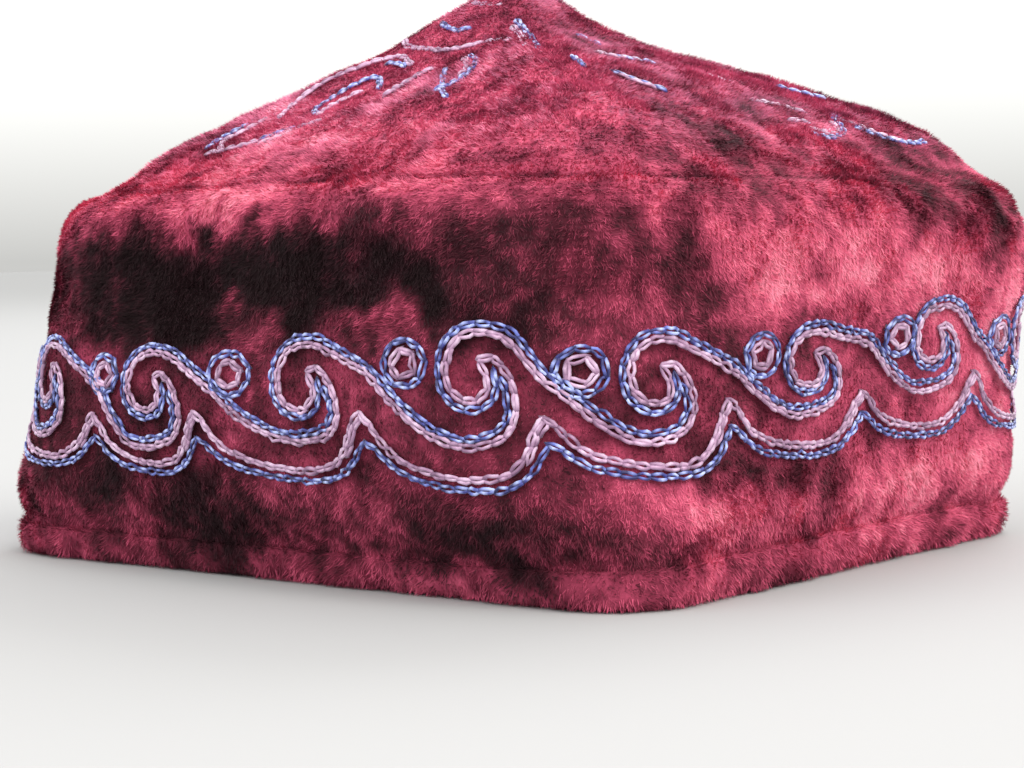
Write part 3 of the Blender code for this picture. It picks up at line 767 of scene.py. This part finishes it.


# Rayon embroidery floss, loosely twisted and dyed in changing shades: silky, with short bright glints along
# it, from its own gloss and from painted highlights on the loops. The grain is a few filaments wide, so that
# it shows.
rayon_floss, tree, output = new_finish("rayon_floss")
FILAMENTS = 0.00014
dyed, filaments = uneven_dye(tree, "floss_colour", FILAMENTS, 0.72, 1.28)
relief = add_node(
    tree, "ShaderNodeBump", inputs={"Strength": 0.5, "Distance": 0.00006}, links={"Height": filaments}
)
surface = add_node(
    tree,
    "ShaderNodeBsdfPrincipled",
    inputs={"Roughness": 0.45, "Sheen Weight": 0.3, "Sheen Roughness": 0.3, "Specular IOR Level": 0.55},
    links={"Base Color": dyed, "Normal": relief.outputs["Normal"]},
)
tree.links.new(surface.outputs["BSDF"], output.inputs["Surface"])

FLOSS = 0.00024  # half the thickness of one strand
FLATTENED = 0.85  # its height over its width
# A chain stitch seen from above: along the stitch and across it as shares of its length and width, and height
# in millimetres; it starts inside the stitch before and is held down by the one after
LOOP = (
    (-0.20, 0.00, -0.16), (0.06, 0.30, 0.10), (0.36, 0.50, 0.24), (0.68, 0.50, 0.22), (0.96, 0.28, 0.04),
    (1.08, 0.00, -0.12), (0.96, -0.28, 0.04), (0.68, -0.50, 0.22), (0.36, -0.50, 0.24),
    (0.06, -0.30, 0.10),
)
# Painted highlight and shade on each part of the loop: how light it is, from the dip at its start round to
# the other leg
LOOP_PAINTED_LIGHT = (-0.60, -0.55, -0.15, 0.42, 0.12, -0.50, -0.15, -0.35, 0.25, -0.40)
LOOP_WIDTH = 0.00078
STRAND_SIDES = 5
thread_places = []


def chain_stitches(name, chains, floss, seed):
    """One piece of chain stitches on chains of (ends, normals), in floss whose colour drifts along it."""
    rng = np.random.default_rng(seed)
    starts = np.concatenate([ends[:-1] for ends, _ in chains])
    length = np.concatenate([ends[1:] for ends, _ in chains]) - starts
    normals = np.concatenate([normal[:-1] for _, normal in chains])
    count, segments = len(starts), len(LOOP)
    along = unit(length)
    beside = unit(np.cross(normals, along))
    normals = np.cross(along, beside)[:, None]
    loop = np.array(LOOP)
    wide = LOOP_WIDTH * rng.uniform(0.62, 1.22, (count, 1, 1))
    spread = loop[:, 1:2] + rng.normal(0, 0.09, (count, segments, 1)) + rng.normal(0, 0.12, (count, 1, 1))
    lift = (loop[:, 2:] + rng.normal(0, 0.06, (count, segments, 1))) / 1000
    centres = starts[:, None] + length[:, None] * loop[:, :1]
    centres = centres + beside[:, None] * wide * spread + normals * lift
    run = unit(np.roll(centres, -1, axis=1) - np.roll(centres, 1, axis=1))
    rim = unit(np.cross(np.broadcast_to(normals, run.shape), run))
    top = np.cross(run, rim)
    turn = (np.arange(STRAND_SIDES) * 2 * math.pi / STRAND_SIDES)[:, None]
    thick = FLOSS * floss.fullness * rng.uniform(0.9, 1.15, (count, 1, 1, 1))
    ring = rim[:, :, None] * np.cos(turn) * thick + top[:, :, None] * np.sin(turn) * thick * FLATTENED
    points = (centres[:, :, None] + ring).reshape(-1, 3)
    one = roll_faces(segments, STRAND_SIDES)
    faces = (one + (np.arange(count) * segments * STRAND_SIDES)[:, None, None]).reshape(-1, 4)
    drift = np.cumsum(rng.normal(0, 0.20, count))
    shade = 0.5 + 0.22 * np.sin(drift + np.arange(count) * 0.8) + rng.normal(0, 0.12, count)
    order = np.where(rng.random((count, 1)) < 0.5, np.arange(segments), -np.arange(segments) % segments)
    # painted highlight and shade round each loop, as strong as the floss's glint
    shade = shade[:, None] + np.array(LOOP_PAINTED_LIGHT)[order] * floss.glint
    shade = shade + rng.normal(0, 0.12, (count, segments))
    palette = [linear(colour) for colour in floss.colours]
    mixed = colours_between(shade, np.linspace(0, 1, len(palette)), palette)
    per_point = np.repeat(mixed.reshape(-1, 3), STRAND_SIDES, axis=0)
    per_point = np.clip(per_point * rng.uniform(0.85, 1.15, (len(per_point), 1)), 0, 0.95)
    piece = new_piece(name, points, faces.tolist(), [rayon_floss])
    paint(piece, "floss_colour", per_point)
    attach(piece, "root")
    thread_places.append(centres.reshape(-1, 3))


# The two flosses: their shades from dark to light, how strongly their painted highlights and shade show round
# each loop, and how full the strand lies
Floss = namedtuple("Floss", "colours glint fullness")
PINK = Floss(("#7b5876", "#a47d9e", "#be9ab8", "#d3b6d0"), 0.75, 1.34)
BLUE = Floss(("#1b1a55", "#3d4393", "#6c7ac8", "#b2bff2"), 1.35, 1.12)
BESIDE = 0.00135  # from the pink line to the blue one
BLUE_STARTS = 22  # places along the scroll before the blue line joins it
BLUE_STOPS_SHORT = 0.0045
CUSP_ARM = -0.0007  # to the right of the scallop's last stitches
SCALLOP_BELOW = 1.6  # millimetres from the pink scallop to the blue one, which is flatter
SCALLOP_FLATTER = 0.70
INNER_RING = 0.60


def scroll_place(repeat, following, across, up):
    """A charted place of the scroll, as (around, millimetres above the floor)."""
    around = np.interp(across, (0, 1, 2, 3), (repeat.cusp, repeat.left, repeat.right, following))
    height = np.interp(up, (0, 1, 2), (repeat.trough, repeat.foot, repeat.top))
    return around, height


pink_scrolls, blue_scrolls, pink_scallops, blue_scallops, pink_rings, blue_rings = [], [], [], [], [], []
for number, repeat in enumerate(REPEATS):
    after = REPEATS[(number + 1) % len(REPEATS)]
    lap = 4.0 if after.cusp < repeat.cusp - 1 else 0.0
    after = after._replace(cusp=after.cusp + lap, left=after.left + lap, right=after.right + lap)
    following = after.cusp + 0.25
    line = [scroll_place(repeat, after.cusp, across, up) for across, up in SCROLL_START]
    line += [scroll_place(after, following, across, up) for across, up in SCROLL_END]
    scroll = on_band(smooth_line(line))
    pink_scrolls.append(stitch_ends(scroll))
    blue_scrolls.append(stitch_ends(scroll[BLUE_STARTS:], BESIDE, trim=BLUE_STOPS_SHORT))
    foot = repeat.scallop_z
    pink, blue = [], []
    for share, high in SCALLOP:
        rise = ((repeat.cusp_z if share < 0.6 else after.cusp_z) - foot) * high
        place = repeat.cusp + (after.cusp - repeat.cusp) * share
        pink.append((place, foot + rise))
        blue.append((place, foot - SCALLOP_BELOW + rise * SCALLOP_FLATTER))
    pink_scallops.append(stitch_ends(on_band(smooth_line(pink))))
    blue_scallops.append(stitch_ends(on_band(smooth_line(blue))))
    # The needle goes up to the cusp twice
    pink_scallops.append(stitch_ends(on_band(smooth_line(pink[-4:])), CUSP_ARM))
    angles = np.linspace(0, 2 * math.pi, 41) + 0.4 * number
    for lines, size in ((blue_rings, 1.0), (pink_rings, INNER_RING)):
        circle_around = repeat.ring + repeat.ring_w * size * np.cos(angles) / 1000 / SIDE_LENGTH
        circle_height = repeat.ring_z + repeat.ring_h * 0.92 * size * np.sin(angles)
        circle = on_band(np.stack([circle_around, circle_height], axis=-1))
        lines.append(stitch_ends(circle, stitch=STITCH * 1.2))

chain_stitches("wave_scroll_pink", pink_scrolls, PINK, 61)
chain_stitches("wave_scroll_blue", blue_scrolls, BLUE, 62)
chain_stitches("wave_scallop_pink", pink_scallops, PINK, 63)
chain_stitches("wave_scallop_blue", blue_scallops, BLUE, 64)
chain_stitches("wave_rings_pink", pink_rings, PINK, 65)
chain_stitches("wave_rings_blue", blue_rings, BLUE, 66)


# The scrolls on the crown: looser curls of the same two flosses in chain stitch on each panel, half hidden in
# the pile that stands round them.
# Share of the panel's width and share of the way from the seam to the tip, p for pink and b for blue
CROWN_SCROLLS = {
    "front": (
        ("b", ((0.19, 0.17), (0.165, 0.22), (0.15, 0.28), (0.13, 0.34))),
        ("p", ((0.24, 0.16), (0.20, 0.20), (0.185, 0.26), (0.165, 0.33))),
        ("p", ((0.22, 0.145), (0.27, 0.165), (0.31, 0.185))),
        ("b", ((0.31, 0.19), (0.33, 0.215), (0.355, 0.24))),
        ("p", ((0.33, 0.17), (0.36, 0.20), (0.385, 0.235), (0.40, 0.26))),
        ("p", ((0.21, 0.32), (0.15, 0.41), (0.12, 0.47), (0.11, 0.53), (0.13, 0.59))
        + ((0.16, 0.64), (0.23, 0.66), (0.32, 0.64), (0.40, 0.59))),
        ("b", ((0.26, 0.61), (0.32, 0.61), (0.38, 0.58))),
        ("b", ((0.34, 0.31), (0.29, 0.35), (0.27, 0.41), (0.265, 0.48))
        + ((0.30, 0.53), (0.36, 0.50), (0.40, 0.45))),
        ("p", ((0.36, 0.29), (0.33, 0.34), (0.33, 0.40), (0.34, 0.45))),
        ("p", ((0.46, 0.40), (0.47, 0.46), (0.49, 0.51), (0.53, 0.55))),
        ("p", ((0.08, 0.75), (0.17, 0.72), (0.28, 0.70), (0.40, 0.685))
        + ((0.52, 0.67), (0.64, 0.69), (0.76, 0.70), (0.88, 0.69))),
        ("b", ((0.20, 0.81), (0.34, 0.785), (0.46, 0.765), (0.56, 0.775))),
        ("b", ((0.66, 0.62), (0.695, 0.56), (0.68, 0.50), (0.645, 0.45), (0.61, 0.41))),
        ("p", ((0.64, 0.60), (0.665, 0.54), (0.65, 0.49))),
        ("b", ((0.585, 0.54), (0.605, 0.47), (0.635, 0.40), (0.67, 0.36))),
        ("b", ((0.95, 0.79), (0.985, 0.73), (0.985, 0.67), (0.965, 0.61))),
        ("p", ((0.91, 0.76), (0.94, 0.70), (0.93, 0.64))),
        ("p", ((0.25, 0.88), (0.60, 0.86), (0.78, 0.86))),
    ),
    "right": (
        ("b", ((0.41, 0.74), (0.44, 0.71), (0.43, 0.68))),
        ("b", ((0.05, 0.56), (0.045, 0.53), (0.05, 0.50))),
        ("p", ((0.22, 0.61), (0.28, 0.575), (0.36, 0.55))),
        ("b", ((0.26, 0.59), (0.32, 0.56), (0.40, 0.535))),
        ("b", ((0.14, 0.48), (0.17, 0.445), (0.21, 0.41), (0.24, 0.375))),
        ("p", ((0.15, 0.46), (0.19, 0.42), (0.22, 0.39))),
        ("p", ((0.54, 0.49), (0.59, 0.47), (0.65, 0.465), (0.71, 0.48))),
        ("p", ((0.50, 0.35), (0.54, 0.345), (0.59, 0.33), (0.63, 0.31))),
        ("b", ((0.83, 0.50), (0.87, 0.48), (0.90, 0.46))),
        ("p", ((0.53, 0.26), (0.56, 0.265), (0.585, 0.255))),
        ("b", ((0.54, 0.21), (0.58, 0.19), (0.63, 0.21), (0.67, 0.25), (0.69, 0.30), (0.725, 0.32))),
        ("p", ((0.56, 0.23), (0.60, 0.215), (0.64, 0.235), (0.665, 0.275))),
        ("p", ((0.70, 0.30), (0.73, 0.275), (0.75, 0.24), (0.78, 0.22))),
        ("b", ((0.71, 0.265), (0.735, 0.235), (0.77, 0.215), (0.81, 0.215), (0.85, 0.23))),
    ),
}
SUNK = -0.00076  # of the crown's floss under the face of the pile


def on_crown(side, line):
    """A charted line of panel shares as (around, way) places."""
    line = smooth_line(line)
    around = side + line[:, 0]
    foot = seam_way(around)
    return np.stack([around, foot + (TIP_WAY - foot) * line[:, 1]], axis=-1)


crown_pink, crown_blue = [], []
for side, charted in enumerate(("front", "right", "front", "right")):
    for colour, line in CROWN_SCROLLS[charted]:
        (crown_pink if colour == "p" else crown_blue).append(stitch_ends(on_crown(side, line), raised=SUNK))
# The floss is fuller here than on the band
chain_stitches("crown_scroll_pink", crown_pink, PINK._replace(fullness=PINK.fullness * 1.15), 67)
chain_stitches("crown_scroll_blue", crown_blue, BLUE._replace(fullness=BLUE.fullness * 1.25), 68)


# The pile: short viscose tufts that stand out of the ground and were crushed while wet, so that they lie over
# in patches, dark where the light runs into them and bright where it glances off; this darkness and
# brightness is also painted on the blades as shade and sheen. Each blade is a few fibres wide.
PILE_LENGTH = 0.00105
BLADE_WIDTH = 0.00018
TUFT = 0.0012  # from the middle of one tuft to the next
TUFT_TABLE = 65536  # random values that the tufts are spread over by two primes
TUFT_PRIMES = (7919, 104729)
LIE_DOWN = -1.45  # the angle that most of the nap lies at, nearly straight down
LEANING = 0.88  # how far most blades lean over, where 0 is upright
LEAST_LEAN, MOST_LEAN = 0.25, 1.35
DRAWN_TOGETHER = 0.35  # share of the way to the middle of its tuft that a blade's tip is drawn
# Painted light on each blade: shaded darker at its root, paler at its tip
LIT_TIP = 1.12
SHADED_ROOT = 0.82
# The crown's pile is given a paler pink painted sheen from this height on
CROWN_SHEEN_FROM = 0.068
CROWN_SHEEN_OVER = 0.012
CROWN_PAINTED_SHEEN = np.array([-0.04, 0.48, 0.43])
thread_places = np.concatenate(thread_places)
thread_tree = kdtree.KDTree(len(thread_places))
for index, spot in enumerate(thread_places):
    thread_tree.insert(spot, index)
thread_tree.balance()

# Viscose pile fibres, dyed burgundy: soft and matt from the side, with a silky pink sheen where they are lit.
# The grain is about ten fibres wide, so that it shows.
crushed_pile, tree, output = new_finish("crushed_velvet_pile")
PILE_GRAIN = 0.00022
dyed, _ = uneven_dye(tree, "pile_colour", PILE_GRAIN, 0.80, 1.20)
surface = add_node(
    tree,
    "ShaderNodeBsdfPrincipled",
    inputs={
        "Roughness": 0.7,
        "Sheen Weight": 0.07,
        "Sheen Roughness": 0.45,
        "Sheen Tint": linear("#f5a8bd") + [1.0],
        "Specular IOR Level": 0.12,
    },
    links={"Base Color": dyed},
)
tree.links.new(surface.outputs["BSDF"], output.inputs["Surface"])


def scatter(side, limits, count, seed):
    """Places spread evenly over one side's face between two ways up, which limits gives for each around."""
    rng = np.random.default_rng(seed)
    end = side + 0.99999
    around = np.linspace(side, end, 81)
    rise = np.linspace(0, 1, 61)
    foot, top = limits(around)
    way = foot[:, None] + (top - foot)[:, None] * rise
    grid = cap_point(np.broadcast_to(around[:, None], way.shape), way)
    one, two = grid[1:, :-1] - grid[:-1, :-1], grid[:-1, 1:] - grid[:-1, :-1]
    area = np.linalg.norm(np.cross(one, two), axis=-1)
    pick = rng.choice(area.size, count, p=(area / area.sum()).ravel())
    i, j = np.unravel_index(pick, area.shape)
    u, v = rng.random(count), rng.random(count)
    found = np.minimum(around[0] + (around[1] - around[0]) * (i + u), end)
    foot, top = limits(found)
    return found, foot + (top - foot) * (j + v) / (len(rise) - 1)


def raise_pile(name, around, way, roots, axes, seed, lengths, pressed_shade=0.0, laid=1.0):
    """One piece of pile: tapering blades drawn together into tufts, lying as the crushed nap does."""
    rng = np.random.default_rng(seed)
    right, up, normal = axes
    count = len(around)
    broad = lattice_noise(roots, 0.016, 71)
    middle = lattice_noise(roots, 0.006, 72)
    across = around * SIDE_LENGTH
    cell = np.stack([np.floor(across / TUFT), np.floor(way / TUFT)], axis=-1).astype(np.int64)
    key = (cell * TUFT_PRIMES).sum(axis=1) % TUFT_TABLE
    tuft_random = np.random.default_rng(73).random((TUFT_TABLE, 4))[key] - 0.5
    lie = LIE_DOWN + 0.75 * broad + 0.65 * middle + tuft_random[:, 0] * 1.3 + rng.normal(0, 0.45, count)
    lean = laid * (LEANING + 0.20 * middle + tuft_random[:, 1] * 0.36 + rng.normal(0, 0.15, count))
    lean = np.clip(lean, LEAST_LEAN, MOST_LEAN)[:, None]
    sideways = right * np.cos(lie)[:, None] + up * np.sin(lie)[:, None]
    length = (lengths * rng.uniform(0.62, 1.25, count))[:, None]
    tuft_middle = (cell + 0.5) * TUFT
    draw = right * (tuft_middle[:, 0] - across)[:, None] + up * (tuft_middle[:, 1] - way)[:, None]
    axis = normal * np.cos(lean) + sideways * np.sin(lean)
    tips = roots + axis * length + draw * DRAWN_TOGETHER
    flat = unit(np.cross(axis, normal))
    roll = rng.uniform(-0.28, 0.28, count)[:, None]
    flat = flat * np.cos(roll) + np.cross(axis, flat) * np.sin(roll)
    half = flat * (BLADE_WIDTH / 2 * rng.uniform(0.8, 1.3, count))[:, None]
    points = np.stack([roots - half, roots + half, tips], axis=1)
    points[:, :, 2] = np.maximum(points[:, :, 2], 0.0001)
    # painted shade where the worked pile is pressed flat
    tone = nap_sheen_shade_tone(around, way, roots) - 0.25 * pressed_shade
    # painted sheen and shade from the way each blade lies, over a random tone for each tuft and blade
    tone = tone + 0.16 * np.cos(lie + 2.2) + tuft_random[:, 2] * 0.36 + rng.normal(0, 0.18, count)
    # the crown's painted sheen, a paler pink haze higher up
    crown_sheen = np.clip((roots[:, 2:] - CROWN_SHEEN_FROM) / CROWN_SHEEN_OVER, 0, 1)
    colour = colours_between(tone, TONES, TONE_COLOURS) * (1 + crown_sheen * CROWN_PAINTED_SHEEN)
    # painted shade at the roots and painted light at the tips
    colours = colour[:, None] * np.array([SHADED_ROOT, SHADED_ROOT, LIT_TIP])[:, None]
    mesh = bpy.data.meshes.new(name)
    mesh.vertices.add(count * 3)
    mesh.vertices.foreach_set("co", points.astype(np.float32).ravel())
    mesh.loops.add(count * 3)
    mesh.loops.foreach_set("vertex_index", np.arange(count * 3, dtype=np.int32))
    mesh.polygons.add(count)
    mesh.polygons.foreach_set("loop_start", np.arange(0, count * 3, 3, dtype=np.int32))
    mesh.materials.append(crushed_pile)
    mesh.update(calc_edges=True)
    mesh.validate()
    piece = bpy.data.objects.new(name, mesh)
    bpy.context.scene.collection.objects.link(piece)
    paint(piece, "pile_colour", colours.reshape(-1, 3))
    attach(piece, "root")


UNDER_FLOSS = 0.00045  # from a strand's middle, where most blades are held down
PRESSED_OVER = 0.0016
WORKED_HEIGHT = 0.031  # of the middle of the wave, where the hoop and the needle flattened the pile
WORKED_HALF = 0.0095
WORKED_SHORTER = 0.35


def clear_of_threads(places, covering, rng):
    """Which blades stay, and how much of their length: the floss presses down the pile near it."""
    near = np.array([thread_tree.find(place)[2] for place in places])
    stays = (near > UNDER_FLOSS) | (rng.random(len(places)) < covering)
    return stays, np.clip((near - 0.0002) / PRESSED_OVER, 0.35 + covering, 1.0)


def band_limits(around):
    """The ways up between which the band's pile stands."""
    return np.full_like(around, way_at(0.0062)), seam_way(around)


def crown_limits(around):
    """The ways up between which the crown's pile stands."""
    return seam_way(around), np.full_like(around, TIP_WAY - 0.0004)


# Part, blades on each side, limits, and the share of blades that come up through the floss
PILES = (("band", 92000, band_limits, 0.30), ("crown", 58000, crown_limits, 0.85))
for side, side_name in enumerate(SIDE_NAMES):
    for number, (part, blades, limits, covering) in enumerate(PILES):
        seed = 80 + side * 2 + number
        around, way = scatter(side, limits, blades, seed)
        places = cap_point(around, way) + TO_SOLIDS
        stays, press = clear_of_threads(places, covering, np.random.default_rng(seed + 100))
        roots = ground_point(around, way)[stays]
        around, way, press = around[stays], way[stays], press[stays]
        height = np.interp(way, plan_way, plan_z)
        worked = np.clip(1.5 - np.abs(height - WORKED_HEIGHT) / WORKED_HALF, 0, 1) * (part == "band")
        lengths = PILE_LENGTH * press * (1 - WORKED_SHORTER * worked)
        axes = cap_frame(around, way)
        raise_pile(
            part + "_pile_" + side_name, around, way, roots, axes, seed + 200, lengths, worked
        )

HEM_BLADES = 62000
HEM_PILE_LENGTH = 1.2 * PILE_LENGTH
HEM_TURN_LENGTH = 0.012  # round the roll from its outer edge to its inner one
rng = np.random.default_rng(95)
around = rng.uniform(0, 4, HEM_BLADES)
turn = rng.uniform(0.02, 0.98, HEM_BLADES)
roots = hem_point(around, turn)
step = 0.004
right = unit(hem_point(around + step, turn) - hem_point(around - step, turn))
normal = unit(np.cross(hem_point(around, turn + step) - hem_point(around, turn - step), right))
axes = (right, np.cross(normal, right), normal)
way = way_at(np.maximum(roots[:, 2], 0.0)) + turn * HEM_TURN_LENGTH
lengths = np.full(HEM_BLADES, HEM_PILE_LENGTH)
raise_pile("hem_pile", around, way, roots, axes, 96, lengths, laid=0.75)


# The studio: a plain pale floor, soft light from above and behind, and the camera where the photograph was
# taken, low in front of one corner.
FLOOR_RADIUS = 12
floor_mesh = bpy.data.meshes.new("pale_floor")
turns = np.linspace(0, 2 * math.pi, 97)[:-1]
rim = [(FLOOR_RADIUS * math.cos(a), FLOOR_RADIUS * math.sin(a), 0.0) for a in turns]
floor_mesh.from_pydata(rim, [], [list(range(len(rim)))])
pale_floor = bpy.data.objects.new("pale_floor", floor_mesh)
bpy.context.scene.collection.objects.link(pale_floor)

# Uncoated pale paper: matt, with no sheen
pale_paper, tree, output = new_finish("matt_pale_paper")
surface = add_node(
    tree,
    "ShaderNodeBsdfPrincipled",
    inputs={"Base Color": linear("#aaaaab") + [1.0], "Roughness": 0.9, "Specular IOR Level": 0.2},
)
tree.links.new(surface.outputs["BSDF"], output.inputs["Surface"])
floor_mesh.materials.append(pale_paper)

world = bpy.data.worlds.new("pale_room")
world.use_nodes = True
tree = world.node_tree
direction = add_node(tree, "ShaderNodeTexCoord")
axes = add_node(tree, "ShaderNodeSeparateXYZ", links={"Vector": direction.outputs["Generated"]})
# Paler upwards, from the floor's own brightness where the two meet
daylight = add_node(
    tree,
    "ShaderNodeMapRange",
    inputs={"From Min": 0.0, "From Max": 0.13, "To Min": 0.68, "To Max": 1.65},
    links={"Value": axes.outputs["Z"]},
)
background = tree.nodes["Background"]
background.inputs["Color"].default_value = linear("#f2f2ef") + [1.0]
tree.links.new(daylight.outputs["Result"], background.inputs["Strength"])
bpy.context.scene.world = world
bpy.context.scene.view_settings.view_transform = "Standard"


def soft_light(name, place, aim, size, power, colour):
    """A square studio light that faces a point."""
    light = bpy.data.lights.new(name, "AREA")
    light.size = size
    light.energy = power
    light.color = linear(colour)
    lamp = bpy.data.objects.new(name, light)
    lamp.location = place
    lamp.rotation_euler = (Vector(aim) - Vector(place)).to_track_quat("-Z", "Y").to_euler()
    bpy.context.scene.collection.objects.link(lamp)


soft_light("window_light", (1.5, -0.3, 1.45), (0, 0, 0.05), 1.2, 29.0, "#fffaf4")
soft_light("back_light", (-0.4, 1.8, 1.55), (0, 0, 0.08), 1.4, 26.0, "#ffffff")
soft_light("front_light", (-0.7, -2.0, 1.05), (0, 0, 0.04), 1.6, 15.0, "#f6f8ff")

CAMERA_AZIMUTH = math.radians(43.257)
CAMERA_RISE = math.radians(3.300)
CAMERA_ROLL = math.radians(-1.048)
CAMERA_AWAY = 0.44245
CAMERA_AIM = (-0.00119, 0.03006)  # to the right of the middle, and up
CAMERA_FROM_SOLIDS = Vector((0.0006, 0.0006, 0.0))  # the camera was fitted beside them by this much
CAMERA_LENS = 80.19
level = math.cos(CAMERA_RISE)
back = (math.sin(CAMERA_AZIMUTH) * level, -math.cos(CAMERA_AZIMUTH) * level, math.sin(CAMERA_RISE))
back = Vector(back)
right = Vector((math.cos(CAMERA_AZIMUTH), math.sin(CAMERA_AZIMUTH), 0.0))
up = back.cross(right)
stand = right * CAMERA_AIM[0] + Vector((0, 0, CAMERA_AIM[1])) + back * CAMERA_AWAY - CAMERA_FROM_SOLIDS
turned_right = right * math.cos(CAMERA_ROLL) + up * math.sin(CAMERA_ROLL)
turned_up = up * math.cos(CAMERA_ROLL) - right * math.sin(CAMERA_ROLL)
camera_data = bpy.data.cameras.new("camera")
camera_data.sensor_width = 36.0
camera_data.lens = CAMERA_LENS
camera = bpy.data.objects.new("camera", camera_data)
facing = Matrix((turned_right, turned_up, back)).transposed().to_4x4()
camera.matrix_world = Matrix.Translation(stand) @ facing
bpy.context.scene.collection.objects.link(camera)
bpy.context.scene.camera = camera
